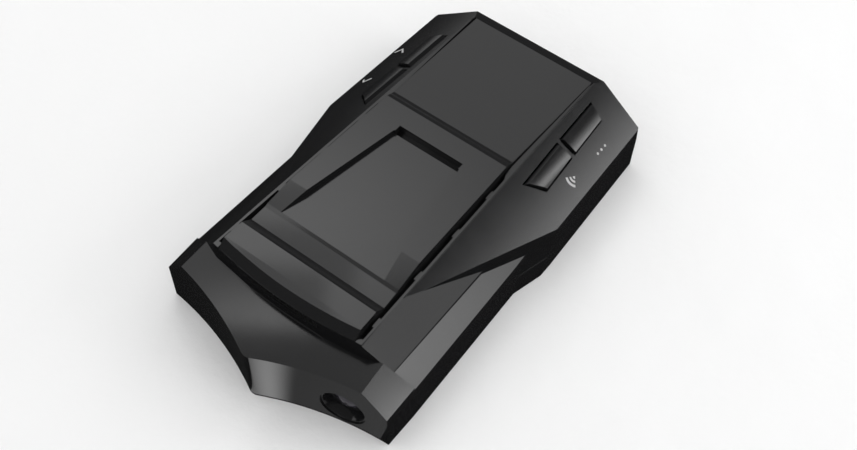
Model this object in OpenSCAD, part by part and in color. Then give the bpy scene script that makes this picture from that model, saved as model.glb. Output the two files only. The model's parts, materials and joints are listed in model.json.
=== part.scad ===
// Windscreen radar detector: a faceted plastic case with a slide rail for its bracket, four wing buttons,
// a front nose with a laser lens, and the microwave, laser, display and sound parts inside.
// X runs to the right, Y from the nose to the display end, Z up. The origin is under the middle of the case.

/* [Case] */
// Length from the nose tip to the display end
body_l = 124; // [123:0.5:126]
// Widest width, across the wing corners
body_w = 74.8; // [74:0.2:76]
// Width across the front corners
front_w = 73; // [72.4:0.2:74]
// Width at the waist, just ahead of the wings
waist_w = 70; // [69:0.2:71]
// Width at the display end
rear_w = 71; // [70:0.2:72]
// Wall thickness of the mouldings
wall = 1.8; // [1.6:0.1:2]
// Height of the parting line between the two case halves
split_z = 6; // [5.6:0.1:6.4]

/* [Nose] */
// Radius of the hollow curve on each flank of the nose
flank_r = 97; // [90:1:110]
// Radius of the nose tip
tip_r = 3; // [2:0.5:4]
// Height of the nose top where it meets the case
nose_back_z = 21.4; // [21:0.1:22]

/* [Slide plate] */
// Height of the front band of the plate, the highest point of the case
plate_z = 29.4; // [29:0.1:29.8]
// Width of the plate at its front edge
plate_w = 44.2; // [43:0.2:45]
// Width of the plate at its rear edge
plate_rear_w = 39.8; // [39:0.2:40]
// Radius of the bowed front edge of the plate
plate_bow_r = 130; // [110:1:160]

/* [Buttons] */
// Travel of each button
button_travel = 0.5; // [0.3:0.1:0.6]
// Gap all round a button cap
button_gap = 0.45; // [0.4:0.05:0.55]
// How far the left wing's corner and buttons sit ahead of the right wing's
left_lead = 4.4; // [0:0.2:5]

/* [Laser lens] */
// Radius of the mouth of the lens bezel
bezel_r = 6.4; // [6:0.1:6.6]
// Radius of the clear lens
lens_r = 4.5; // [4:0.1:4.8]
// Height of the lens axis above the table
lens_z = 7.3; // [7.2:0.1:7.6]

/* [Sockets] */
// Bore radius of the power socket
jack_r = 1.8; // [1.75:0.01:1.85]
// Depth of the power socket's bore
jack_depth = 12; // [11:0.5:13]

/* [Hidden] */

eps = 0.01;
big = 300;
core = [0, 0, 8];
tip_y = -body_l / 2;
back_y = body_l / 2;
half_w = body_w / 2;
front_x = front_w / 2;
waist_x = waist_w / 2;
rear_x = rear_w / 2;

// Seam between nose and case: centre, rail and side points of its outline
seam_mid_y = -47.3;
seam_rail_y = -45.6;
seam_side_y = -41.2;
corner_y = -51.4;
waist_y = 3;
rear_corner_y = 60;
rear_top_x = 34.4;
rear_lean = 3.4;

// Rail lines: outer edge at the nose seam and at the display end
rail_front_x = 24.1;
rail_back_x = 20.4;
rail_front_z = 27.4;
rail_back_z = 24.5;
rail_w = 0.65;
teeth_y = [-40, -23, -7, 8];
tooth_l = 3;

// Corners of the outer facets, on the right-hand side
wing_in = [21.4, 61.9, 23.1];
wing_out = [rear_top_x, 62.5, 14.4];
wing_tip = [half_w - 0.1, 18.1, 14.8];
wing_root = [23.9, -28.1, 26.1];
wing_foot = [half_w, 11.9, 0];
strip_in = [rail_front_x, seam_rail_y, 26.9];
strip_edge = [31.2, -43, 17.9];
strip_end = [30.3, -7, 18.2];
ledge_in = [31.2, -43, 17.4];
ledge_out = [front_x, seam_side_y, 12.7];
ledge_end = [30.3, -7, 17.1];
step_front_x = 31.2;
step_back_x = 30.3;
nose_in = [29.2, seam_rail_y + 0.8, nose_back_z];
nose_front = [29.6, -52.6, nose_back_z - 1];
nose_corner = [front_x, corner_y, 12.9];

// Flank circle of the nose, placed so that the rounded tip ends at tip_y
flank_x = 44;
flank_y = tip_y + tip_r - sqrt(pow(flank_r + tip_r, 2) - pow(flank_x, 2));
tip_centre_y = tip_y + tip_r;
tangent_x = flank_x * tip_r / (flank_r + tip_r);
tangent_y = tip_centre_y - tip_r * (tip_centre_y - flank_y) / (flank_r + tip_r);

// Deck under the slide plate
deck_z = 25;
deck_back_z = 22.4;
lip_z = 26.8;
rest_gap = 0.02;
plate_front_y = seam_rail_y + 1.5;
plate_back_y = 20;
panel_back_y = 58.8;

// Side profile of the plate: sloping front, band, valley, ramp and roof
bow_z = 27.2;
band_y = -37.1;
valley_y = -34.1;
valley_z = 27;
shelf_y = -29.1;
shelf_z = 27.3;
roof_foot_y = -28.1;
roof_foot_z = 27.65;
roof_y = -19.5;
roof_z = 28.9;
roof_back_y = 18.6;
roof_back_z = 27.4;
panel_front_z = 26.4;
panel_back_z = 23.9;
rim_z = 22.8;
latch_near_x = 16.9;
latch_far_x = 10.5;
latch_far_y = 12.4;
latch_slot_l = 2.2;
latch_near_z = 27.4;
latch_far_z = 26.4;
latch_slot_z = 24.9;

// Wing frame: origin on the wing between the two buttons, X down the slope, Y to the rear
wing_origin = [23.7, 37, 22.75];
wing_tilt = [-2.5, 33.8, 0];
pocket_depth = 4;
flange_t = 0.8;
flange_rim = 0.8;
flange_u = 1.4;
cap_rise = 1.1;
cap_inner_lean = 27;
cap_outer_lean = 10;
cap_crown_u = 3;
cap_crown_r = 45;
plunger_r = 1.1;
plunger_l = 0.9;
post_r = 1.3;
key_z = -7.4;
key_board_t = 1;
switch_h = 1.7;
switch_size = 4.4;
key_u = 3;
key_rear_v = 8.6;
key_front_v = -9;

// Lens axis on the right-hand flank
lens_turn = 12;
lens_x = 23.7;
lens_face_y = flank_y + sqrt(pow(flank_r, 2) - pow(flank_x - lens_x, 2));
bezel_depth = 3.2;
lens_dome = 2;

// Inner parts
board_z = 9;
board_t = 1.6;
board_x = 25;
board_front_y = -38;
board_back_y = 52;
screw_x = 30.6;
screw_front_y = -34;
screw_back_y = 46;
boss_r = 2.6;
boss_top_z = 12.4;
pilot_r = 0.95;
screw_l = 9.6;
board_screw_x = 21.5;
board_screw_y = [-34, 46];
speaker_y = 20;
speaker_r = 13;
speaker_h = 4.6;
jack_y = -20;
jack_z = 8;
jack_collar_r = 3;
jack_face_x = -waist_x - 0.1;
usb_y = -6;
usb_z = 7.4;
window_w = 44;
window_h = 11;
plate_l = 46;
plate_wide = 34;
plate_y = -14;

function unit(v) = v / norm(v);
function outward(n, a) = n * (a - core) < 0 ? -n : n;
function facing(a, b, c) = outward(unit(cross(b - a, c - a)), a);
function deck_at(y) = deck_z + (deck_back_z - deck_z) * (y - seam_rail_y) / (panel_back_y - seam_rail_y);
function rail_x(y) = rail_front_x + (rail_back_x - rail_front_x) * (y - seam_rail_y) / (back_y - seam_rail_y);

// Everything outside the plane through three points, the plane first moved inwards by t
module outside(a, b, c, t = 0) {
    n = facing(a, b, c);
    translate(a - t * n)
        rotate([0, acos(n[2]), atan2(n[1], n[0])])
            translate([-big, -big, 0])
                cube(2 * big);
}

// The left-hand side: a mirror image that may sit further forward
module left_side(lead = 0) {
    translate([0, -lead, 0]) mirror([1, 0, 0]) children();
}

// A cutter or a solid on both sides of the case
module both_sides(lead = 0) {
    children();
    left_side(lead) children();
}

// Plan outline made from right-hand points and their mirror images
module mirrored_plan(points) {
    polygon(concat(points, [for (i = [len(points) - 1 : -1 : 0]) [-points[i][0], points[i][1]]]));
}

// Places a child in the frame of the right-hand wing
module on_wing() {
    translate(wing_origin) rotate(wing_tilt) children();
}

// Front part of the case with its two strips each side; t lowers every face
module strip_block(t) {
    difference() {
        linear_extrude(40) mirrored_plan([
            [0, seam_mid_y + t], [12, seam_mid_y + 0.3 + t], [rail_front_x, seam_rail_y + t],
            [step_front_x - t, -43 + t], [step_back_x - t, waist_y + 17], [0, waist_y + 17]]);
        both_sides() outside(strip_in, strip_edge, strip_end, t);
        both_sides(left_lead) over_wing(t);
    }
    difference() {
        linear_extrude(40) mirrored_plan([
            [0, seam_mid_y + t], [12, seam_mid_y + 0.3 + t], [rail_front_x, seam_rail_y + t],
            [front_x - t, seam_side_y + t], [waist_x - t, waist_y], [waist_x - 1 - t, waist_y + 17],
            [0, waist_y + 17]]);
        both_sides() outside(ledge_in, ledge_out, ledge_end, t);
        both_sides(left_lead) over_wing(t);
    }
}

// The space above a wing and behind its wall, which the strips don't reach into
module over_wing(t) {
    difference() {
        outside(wing_in, wing_out, wing_tip, t);
        outside(wing_root, wing_tip, wing_foot, t);
    }
}

// Rear part of the case with the sloping wings; t lowers every face
module wing_block(t) {
    difference() {
        union() {
            wing_half(t);
            mirror([1, 0, 0]) wing_half(t, left_lead);
        }
        both_sides() outside(wing_in, wing_out, wing_tip, t);
        both_sides(left_lead) outside(wing_root, wing_tip, wing_foot, t);
    }
}

module wing_half(t, lead = 0) {
    linear_extrude(40) polygon([
        [-1, seam_rail_y], [half_w - t, seam_rail_y], [half_w - t, 16 - lead], [rear_x - t, rear_corner_y],
        [rear_top_x - t, back_y], [-1, back_y]]);
}

// The whole case as one solid, without nose, deck or hollow
module case_solid(t = 0) {
    difference() {
        union() {
            strip_block(t);
            wing_block(t);
            rail_ridge(t);
        }
        outside([0, seam_rail_y, rail_front_z], [10, seam_rail_y, rail_front_z], [0, panel_back_y, rail_back_z], t);
        outside([0, back_y, 23], [10, back_y, 23], [0, back_y - rear_lean, 0], t);
        outside([0, panel_back_y, panel_back_z], [10, panel_back_y, panel_back_z], [0, back_y, rim_z], t);
    }
}

// The ridge that carries the rail, from the nose seam to the display end
module rail_ridge(t) {
    linear_extrude(40) mirrored_plan([
        [0, seam_mid_y + t], [12, seam_mid_y + 0.3 + t], [rail_front_x - t, seam_rail_y + t],
        [rail_back_x - t, panel_back_y + 0.6 - t], [0, panel_back_y + 0.6 - t]]);
}

// Channel that the slide plate and the top panel sit in
module deck_channel() {
    difference() {
        union() {
            linear_extrude(50) mirrored_plan([
                [0, seam_rail_y + 1.4], [rail_x(-44) - rail_w, seam_rail_y + 1.4],
                [rail_x(plate_back_y) - rail_w, plate_back_y - 4], [plate_rear_w / 2 + 0.3, plate_back_y - 2],
                [plate_rear_w / 2 + 0.3, panel_back_y + rest_gap],
                [0, panel_back_y + rest_gap]]);
            translate([-plate_w / 2 - 0.2, seam_mid_y - 4, lip_z]) cube([plate_w + 0.4, 8, 20]);
        }
        deck_fill();
    }
}

// The solid part below the deck floor
module deck_fill() {
    difference() {
        translate([-big / 2, -big / 2, -10]) cube([big, big, 60]);
        outside([0, seam_rail_y, deck_z], [10, seam_rail_y, deck_z], [0, panel_back_y, deck_back_z]);
    }
}

// Teeth along the groove that index the bracket
module rail_teeth() {
    for (y = teeth_y)
        translate([rail_x(y) - rail_w - 0.7, y, deck_z - 2]) cube([1, tooth_l, 8]);
}

module hollow() {
    intersection() {
        case_solid(wall);
        difference() {
            translate([-big / 2, -big / 2, wall]) cube([big, big, 60]);
            outside([0, seam_rail_y, deck_z - wall], [10, seam_rail_y, deck_z - wall],
                [0, panel_back_y, deck_back_z - wall]);
        }
    }
}

// Outline of one button in the wing frame, grown by g, and by m at the edge next to the other button;
// end is 1 for the rear button and -1 for the front one
function button_outline(end, g, m) = end > 0 ?
    [[-0.1 - g, 0.7 - m], [6.1 + g, 1 - m], [5.4 + g, 15.4 + g * 0.8], [-0.5 - g, 16.9 + g * 1.2]] :
    [[6.2 + g, -0.2 + m], [0 - g, -0.5 + m], [0.7 - g, -17.8 - g * 1.2], [7 + g, -13.6 - g * 0.8]];

module button_pocket(end) {
    on_wing() translate([0, 0, -pocket_depth]) linear_extrude(8) polygon(button_outline(end, 0, 0));
}

// Cap above its flange: a slightly crowned top, and sides that lean inwards except next to the other button
module cap_body(end, z0) {
    outline = button_outline(end, -button_gap, -button_gap);
    difference() {
        translate([0, 0, z0]) linear_extrude(cap_rise + 2 - z0) polygon(outline);
        for (i = [1 : 3]) {
            step = outline[(i + 1) % 4] - outline[i];
            lean = i == 2 + end ? cap_inner_lean : cap_outer_lean;
            translate(outline[i]) rotate([0, 0, atan2(step[1], step[0])]) rotate([-lean, 0, 0])
                translate([-50, -20, -30]) cube([100, 20, 60]);
        }
        difference() {
            translate([-20, -30, z0 - 1]) cube([40, 60, 20]);
            translate([cap_crown_u, 40, cap_rise - cap_crown_r]) rotate([90, 0, 0])
                cylinder(r = cap_crown_r, h = 80, $fn = 360);
        }
    }
}

// Button: the cap, a retaining flange under the wall, and a post that reaches the switch
module button_cap(end) {
    key_v = end > 0 ? key_rear_v : key_front_v;
    flange_top = -wall - 0.35;
    post_foot = key_z + key_board_t + switch_h + plunger_l;
    on_wing() {
        cap_body(end, flange_top - eps);
        translate([0, 0, flange_top - flange_t]) intersection() {
            linear_extrude(flange_t) polygon(button_outline(end, flange_rim, -button_gap));
            translate([flange_u, -30, -1]) cube([20, 60, 4]);
        }
        translate([key_u, key_v, post_foot])
            cylinder(r = post_r, h = flange_top - flange_t - post_foot + eps, $fn = 48);
    }
}

module plunger(end) {
    key_v = end > 0 ? key_rear_v : key_front_v;
    on_wing() translate([key_u, key_v, key_z + key_board_t + switch_h - 0.2])
        cylinder(r = plunger_r, h = plunger_l + 0.2, $fn = 48);
}

module key_board() {
    on_wing() difference() {
        translate([-1.5, -16, key_z]) cube([8.5, 32, key_board_t]);
        for (v = [-13.5, 13.5])
            translate([key_u, v, key_z - 1]) cylinder(r = 0.8, h = 4, $fn = 32);
    }
}

module key_switches() {
    on_wing() for (v = [key_front_v, key_rear_v]) difference() {
        translate([key_u - switch_size / 2, v - switch_size / 2, key_z + key_board_t])
            cube([switch_size, switch_size, switch_h]);
        translate([key_u, v, key_z + key_board_t + switch_h - 0.4 - button_travel])
            cylinder(r = plunger_r + 0.3, h = 4, $fn = 48);
    }
}

module at_screws() {
    for (x = [-screw_x, screw_x], y = [screw_front_y, screw_back_y])
        translate([x, y, 0]) children();
}

// Screw bosses of the upper half, standing on the parting line and tied to the side wall
module upper_bosses() {
    at_screws() translate([0, 0, split_z]) cylinder(r = boss_r, h = boss_top_z - split_z, $fn = 64);
    for (s = [-1, 1], y = [screw_front_y, screw_back_y])
        translate([s * (screw_x + 3) - 3, y - 0.6, split_z]) cube([6, 1.2, boss_top_z - split_z]);
}

module front_opening() {
    translate([-17, seam_mid_y - 4, split_z + 1.5]) cube([34, 10, 11.5]);
}

module lens_axis() {
    translate([lens_x, lens_face_y, lens_z]) rotate([90, 0, lens_turn]) children();
}

module upper_housing() {
    color([0.13, 0.13, 0.135]) difference() {
        union() {
            difference() {
                case_solid();
                hollow();
                deck_channel();
            }
            intersection() {
                case_solid();
                both_sides() rail_teeth();
            }
            intersection() {
                case_solid(wall / 2);
                upper_bosses();
            }
        }
        translate([-big / 2, -big / 2, split_z - big]) cube(big);
        both_sides(left_lead) {
            button_pocket(1);
            button_pocket(-1);
        }
        at_screws() translate([0, 0, split_z - 1]) cylinder(r = pilot_r, h = 6, $fn = 48);
        front_opening();
        side_sockets();
        display_opening();
        vent_seat();
    }
}

module display_opening() {
    translate([-window_w / 2 - 2, back_y - 8, split_z + 0.6]) cube([window_w + 4, 12, window_h + 1.6]);
}

// Seat for the vent insert in the small wall behind the nose top
module vent_seat() {
    translate([-11, seam_mid_y - 1, 23.8]) cube([22, 2.2, 1.9]);
}

// Openings for the power and data sockets, on the left-hand side
module side_sockets() {
    translate([-half_w - 5, jack_y, jack_z]) rotate([0, 90, 0]) cylinder(r = jack_collar_r + 0.1, h = 12, $fn = 64);
    translate([-half_w - 5, usb_y - 4.2, usb_z - 1.9]) cube([12, 8.4, 3.8]);
}

module lower_housing() {
    color([0.11, 0.11, 0.115]) difference() {
        union() {
            difference() {
                intersection() {
                    case_solid();
                    translate([-big / 2, -big / 2, 0]) cube([big, big, split_z]);
                }
                hollow();
            }
            at_screws() cylinder(r = 3.4, h = split_z, $fn = 64);
            for (x = [-board_screw_x, board_screw_x], y = board_screw_y)
                translate([x, y, 1]) cylinder(r = 2.2, h = board_z - 1, $fn = 48);
        }
        at_screws() translate([0, 0, -1]) {
            cylinder(r = 1.3, h = split_z + 2, $fn = 48);
            cylinder(r = 2.6, h = 3.8, $fn = 64);
        }
        for (x = [-board_screw_x, board_screw_x], y = board_screw_y)
            translate([x, y, 3]) cylinder(r = 0.8, h = 10, $fn = 48);
        side_sockets();
        speaker_grille();
        translate([-plate_wide / 2 - 0.2, plate_y - plate_l / 2 - 0.2, -1])
            cube([plate_wide + 0.4, plate_l + 0.4, 1.5]);
    }
}

// Rings of round sound holes under the loudspeaker
module speaker_grille() {
    translate([0, speaker_y, -1]) {
        cylinder(r = 0.75, h = 4, $fn = 24);
        for (ring = [1 : 3], i = [0 : 6 * ring - 1])
            rotate(i * 60 / ring) translate([3.1 * ring, 0, 0]) cylinder(r = 0.75, h = 4, $fn = 24);
    }
}

// Plan of the nose: straight sides, hollow flanks and a rounded tip; t is the wall to leave outside it
module nose_plan(t = 0) {
    difference() {
        mirrored_plan([
            [0, tip_y - 5], [front_x - t, tip_y - 5], [front_x - t, seam_side_y],
            [rail_front_x, seam_rail_y], [12, seam_mid_y + 0.3], [0, seam_mid_y]]);
        for (s = [-1, 1])
            translate([s * flank_x, flank_y]) circle(r = flank_r + t, $fn = 360);
        translate([-tangent_x - t, tip_y - 10]) square([2 * (tangent_x + t), tangent_y + t * 0.9 + 10 - tip_y]);
    }
    translate([0, tip_centre_y]) circle(r = max(tip_r - t, 1), $fn = 96);
}

module nose_top_cut(t = 0) {
    outside([0, nose_front[1], nose_front[2]], [10, nose_front[1], nose_front[2]], [0, nose_in[1], nose_in[2]], t);
    both_sides() outside(nose_in, nose_front, nose_corner, t);
}

module nose_cover() {
    color([0.13, 0.13, 0.135]) difference() {
        linear_extrude(30) nose_plan();
        nose_top_cut();
        difference() {
            translate([0, 0, wall]) linear_extrude(30) union() {
                nose_plan(wall);
                mirrored_plan([[0, seam_mid_y - 4], [17, seam_mid_y - 4], [17, 0], [0, 0]]);
                mirrored_plan([[0, seam_mid_y - 2], [front_x - wall, -43], [front_x - wall, -30], [0, -30]]);
            }
            nose_top_cut(wall);
        }
        lens_axis() translate([0, 0, -8]) cylinder(r = bezel_r, h = 16, $fn = 96);
    }
}

// Small dark insert behind the wide slot over the nose
module vent_insert() {
    color([0.02, 0.02, 0.02]) difference() {
        translate([-11, seam_mid_y + 0.3, 23.8]) cube([22, 0.9, 1.9]);
        for (i = [-4 : 4])
            translate([i * 2.3 - 0.7, seam_mid_y, 24.3]) cube([1.4, 0.9, 0.9]);
    }
}

// Side profile of the plate between two stations, extruded across the case
module across(points) {
    translate([-40, 0, 0]) rotate([90, 0, 90]) linear_extrude(80) polygon(points);
}

module slide_plate() {
    plan_front = plate_w / 2;
    plan_back = plate_rear_w / 2;
    color([0.2, 0.2, 0.205]) difference() {
        intersection() {
            across([[-49, lip_z + rest_gap], [-49, plate_z], [-43, plate_z], [band_y, plate_z - 0.2],
                [valley_y, valley_z], [shelf_y, shelf_z], [roof_foot_y, roof_foot_z], [roof_y, roof_z],
                [roof_back_y, roof_back_z], [plate_back_y, roof_back_z - 0.5],
                [plate_back_y, deck_at(plate_back_y) + rest_gap],
                [plate_front_y, deck_at(plate_front_y) + rest_gap], [plate_front_y, lip_z + rest_gap]]);
            linear_extrude(40) mirrored_plan([[0, -60], [plan_front, -60], [plan_front, -44],
                [plan_front - 0.6, -30], [plan_back, plate_back_y], [0, plate_back_y]]);
            translate([0, plate_bow_r - 47.5, 0]) union() {
                cylinder(r = plate_bow_r, h = bow_z + eps, $fn = 720);
                translate([0, 0, bow_z]) cylinder(r1 = plate_bow_r, r2 = plate_bow_r - 12, h = 12, $fn = 720);
            }
        }
        latch_recess();
        plate_hollow();
    }
}

// Sunken ramp for the bracket's latch, with a deep catch slot at its far end
module latch_recess() {
    far_y = latch_far_y - latch_slot_l;
    intersection() {
        linear_extrude(40) mirrored_plan([[0, roof_foot_y], [latch_near_x, roof_foot_y],
            [latch_far_x + 0.3, far_y], [0, far_y]]);
        outside([0, roof_foot_y, latch_near_z], [10, roof_foot_y, latch_near_z], [0, far_y, latch_far_z]);
    }
    translate([-latch_far_x, far_y - 0.1, latch_slot_z]) cube([2 * latch_far_x, latch_slot_l, 10]);
}

// Space under the plate's roof, where only a rim touches the deck
module plate_hollow() {
    across_w = 32;
    translate([-across_w / 2, -26, 20]) cube([across_w, 24, 25.4 - 20]);
}

module top_panel() {
    color([0.2, 0.2, 0.205]) intersection() {
        across([[plate_back_y, roof_back_z - 0.5], [plate_back_y + 1.4, panel_front_z], [panel_back_y, panel_back_z],
            [panel_back_y, deck_back_z + rest_gap], [plate_back_y, deck_at(plate_back_y) + rest_gap]]);
        translate([-plate_rear_w / 2, 0, 0]) cube([plate_rear_w, 100, 50]);
    }
}

// Display end: bezel, window, module and its board
module display_bezel() {
    color([0.05, 0.05, 0.055]) difference() {
        intersection() {
            case_solid();
            translate([-window_w / 2 - 1.9, back_y - 6, split_z + 0.7]) cube([window_w + 3.8, 10, window_h + 1.4]);
        }
        translate([0, -wall, 0]) intersection() {
            case_solid();
            translate([-60, 0, 0]) cube([120, 80, 40]);
        }
        translate([-window_w / 2, back_y - 10, split_z + 2]) cube([window_w, 20, window_h - 1.3]);
    }
}

module display_window() {
    color([0.08, 0.02, 0.02]) difference() {
        intersection() {
            translate([0, -0.3, 0]) case_solid();
            translate([-window_w / 2 + 0.05, back_y - 6, split_z + 2.05])
                cube([window_w - 0.1, 10, window_h - 1.4]);
        }
        translate([0, -1.5, 0]) intersection() {
            case_solid();
            translate([-60, 0, 0]) cube([120, 80, 40]);
        }
    }
}

module display_module() {
    color([0.15, 0.15, 0.17])
        translate([-20, 54.2, split_z + 4.6]) cube([40, 2, 8.6]);
}

module display_board() {
    color([0.05, 0.3, 0.12])
        translate([-21.6, 52.8, board_z + board_t]) cube([43.2, 1.2, 8.4]);
}

module button_up() {
    color([0.15, 0.15, 0.155]) left_side(left_lead) button_cap(1);
}

module button_down() {
    color([0.15, 0.15, 0.155]) left_side(left_lead) button_cap(-1);
}

module button_menu() {
    color([0.15, 0.15, 0.155]) button_cap(1);
}

module button_wireless() {
    color([0.15, 0.15, 0.155]) button_cap(-1);
}

module plunger_up() {
    color([0.05, 0.05, 0.05]) left_side(left_lead) plunger(1);
}

module plunger_down() {
    color([0.05, 0.05, 0.05]) left_side(left_lead) plunger(-1);
}

module plunger_menu() {
    color([0.05, 0.05, 0.05]) plunger(1);
}

module plunger_wireless() {
    color([0.05, 0.05, 0.05]) plunger(-1);
}

module key_board_left() {
    color([0.05, 0.3, 0.12]) left_side(left_lead) key_board();
}

module key_board_right() {
    color([0.05, 0.3, 0.12]) key_board();
}

module key_switches_left() {
    color([0.75, 0.75, 0.72]) left_side(left_lead) key_switches();
}

module key_switches_right() {
    color([0.75, 0.75, 0.72]) key_switches();
}

// Stepped conical ring around the laser lens
module lens_bezel() {
    seat = lens_r + 0.1;
    color([0.04, 0.04, 0.045]) lens_axis() rotate_extrude($fn = 96)
        polygon([[seat, -bezel_depth - 2.2], [bezel_r, -bezel_depth - 2.2], [bezel_r, -0.35],
            [bezel_r - 0.45, -0.35], [seat + 0.5, -bezel_depth + 0.4], [seat + 0.5, -bezel_depth],
            [seat, -bezel_depth]]);
}

// Clear domed lens on a short barrel
module laser_lens() {
    dome_r = (pow(lens_r, 2) + pow(lens_dome, 2)) / (2 * lens_dome);
    color([0.25, 0.22, 0.3]) lens_axis() {
        translate([0, 0, -bezel_depth - 2]) cylinder(r = lens_r, h = 2 - 0.4, $fn = 96);
        intersection() {
            translate([0, 0, -bezel_depth - 0.4 + lens_dome - dome_r]) sphere(r = dome_r, $fn = 96);
            translate([0, 0, -bezel_depth - 0.4 - eps]) cylinder(r = lens_r, h = 6, $fn = 96);
        }
    }
}

module laser_sensor() {
    color([0.08, 0.08, 0.1]) lens_axis() {
        translate([-2.2, -2.2, -bezel_depth - 3.4]) cube([4.4, 4.4, 0.8]);
        translate([0, 0, -bezel_depth - 2.6 - eps]) cylinder(r = 1.4, h = 0.4, $fn = 48);
    }
}

module laser_board() {
    color([0.05, 0.3, 0.12]) lens_axis()
        translate([-5.6, -4.8, -bezel_depth - 4.2]) cube([11.2, 9.6, 0.8]);
}

module main_board() {
    color([0.05, 0.3, 0.12]) difference() {
        union() {
            translate([-board_x, board_front_y, board_z])
                cube([2 * board_x, board_back_y - board_front_y, board_t]);
            translate([-board_x - 5, usb_y - 5, board_z]) cube([6, 10, board_t]);
        }
        for (x = [-board_screw_x, board_screw_x], y = board_screw_y)
            translate([x, y, board_z - 1]) cylinder(r = 1.3, h = 4, $fn = 48);
        translate([-board_x - 1, jack_y - 3.3, board_z - 1]) cube([5, 6.6, 4]);
    }
}

module on_board() {
    translate([0, 0, board_z + board_t]) children();
}

module processor() {
    color([0.06, 0.06, 0.07]) on_board() translate([-9, -4, 0]) cube([12, 12, 1.4]);
}

module memory_chip() {
    color([0.06, 0.06, 0.07]) on_board() translate([7, -2, 0]) cube([6, 8, 1.2]);
}

module capacitors() {
    color([0.6, 0.6, 0.62]) on_board()
        for (p = [[-17, 6], [-17, 14], [17, 8], [17, 16]])
            translate([p[0], p[1], 0]) cylinder(r = 2.5, h = 5.4, $fn = 48);
}

// Screening can over the oscillator, open to the board
module shield_can() {
    color([0.72, 0.72, 0.72]) on_board() difference() {
        translate([-14, -18, 0]) cube([28, 12, 4]);
        translate([-13.7, -17.7, -1]) cube([27.4, 11.4, 4.7]);
    }
}

// Die-cast horn, its mouth towards the road
module horn_antenna() {
    mouth = [30, 7.4];
    throat = [11, 5];
    horn_l = 19;
    color([0.7, 0.7, 0.7]) translate([0, -52.5, board_z + board_t + 0.2 + mouth[1] / 2]) difference() {
        translate([-mouth[0] / 2 - 1, 0, -mouth[1] / 2]) cube([mouth[0] + 2, horn_l + 8, mouth[1]]);
        hull() {
            translate([-mouth[0] / 2, -0.1, -mouth[1] / 2 + 0.8]) cube([mouth[0], 0.1, mouth[1] - 1.6]);
            translate([-throat[0] / 2, horn_l, -throat[1] / 2]) cube([throat[0], 0.1, throat[1]]);
        }
        translate([-throat[0] / 2, horn_l - 1, -throat[1] / 2]) cube([throat[0], 6, throat[1]]);
    }
}

module microwave_board() {
    color([0.8, 0.76, 0.55])
        translate([-12, -25.3, board_z + board_t]) cube([24, 1, 10]);
}

module gps_antenna() {
    color([0.75, 0.7, 0.6]) on_board() {
        translate([-12.5, 22, 0]) cube([25, 25, 1]);
        translate([-9, 25.5, 1 - eps]) cube([18, 18, 4]);
    }
}

module wireless_module() {
    color([0.7, 0.7, 0.72]) on_board() translate([-8, 10.5, 0]) cube([16, 10, 2.2]);
}

// Flat round loudspeaker over the sound holes
module loudspeaker() {
    color([0.2, 0.2, 0.2]) translate([0, speaker_y, wall + 0.6]) rotate_extrude($fn = 96)
        polygon([[0, 0.9], [speaker_r - 4, 0.5], [speaker_r - 1.2, 1], [speaker_r - 1.2, 0], [speaker_r, 0],
            [speaker_r, 2], [speaker_r - 3.5, 2.6], [speaker_r - 3.5, speaker_h], [0, speaker_h]]);
}

module speaker_gasket() {
    color([0.07, 0.07, 0.07]) translate([0, speaker_y, wall]) difference() {
        cylinder(r = speaker_r, h = 0.6, $fn = 96);
        translate([0, 0, -1]) cylinder(r = speaker_r - 1.6, h = 3, $fn = 96);
    }
}

module backup_cell() {
    color([0.75, 0.75, 0.75]) on_board() translate([18, 30, 0]) cylinder(r = 4.8, h = 3, $fn = 64);
}

// Coaxial power socket on the left-hand side, its bore open to the outside
module power_socket() {
    color([0.05, 0.05, 0.05]) translate([jack_face_x, jack_y, jack_z]) rotate([0, 90, 0]) difference() {
        union() {
            cylinder(r = jack_collar_r, h = 4, $fn = 64);
            translate([-2.4, -3.2, 3]) cube([5.4, 6.4, jack_depth - 1]);
        }
        translate([0, 0, -1]) cylinder(r = jack_r, h = jack_depth + 1, $fn = 96);
    }
}

// Contact that meets the plug's tip at the end of the bore, its tail soldered under the board
module power_contact() {
    color([0.8, 0.78, 0.7]) translate([jack_face_x + jack_depth + 2, jack_y, jack_z]) {
        translate([0, -1.2, -2]) cube([0.3, 2.4, board_z - jack_z + 2]);
        translate([0, -1.2, board_z - jack_z - 0.3]) cube([3, 2.4, 0.3]);
    }
}

// Metal shell of the data socket
module usb_socket() {
    color([0.75, 0.75, 0.75]) translate([-waist_x + 0.5, usb_y, usb_z]) difference() {
        translate([0, -3.8, -1.6]) cube([8, 7.6, 3.2]);
        translate([-1, -3.45, -1.25]) cube([8, 6.9, 2.5]);
    }
}

module rating_plate() {
    color([0.55, 0.55, 0.56])
        translate([-plate_wide / 2, plate_y - plate_l / 2, 0.2]) cube([plate_wide, plate_l, 0.3]);
}

module pan_screw(r, l, head_r, head_h) {
    difference() {
        union() {
            cylinder(r = head_r, h = head_h, $fn = 48);
            cylinder(r = r, h = l, $fn = 48);
        }
        translate([-head_r * 0.7, -0.25, -1]) cube([head_r * 1.4, 0.5, 1.5]);
        translate([-0.25, -head_r * 0.7, -1]) cube([0.5, head_r * 1.4, 1.5]);
    }
}

module case_screws() {
    color([0.25, 0.25, 0.26]) at_screws() translate([0, 0, 1.3]) pan_screw(pilot_r - 0.01, screw_l, 2.3, 1.5);
}

module board_screws() {
    color([0.7, 0.7, 0.7])
        for (x = [-board_screw_x, board_screw_x], y = board_screw_y)
            translate([x, y, board_z + board_t + 1.2]) mirror([0, 0, 1]) pan_screw(0.79, 6, 2, 1.2);
}

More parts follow.
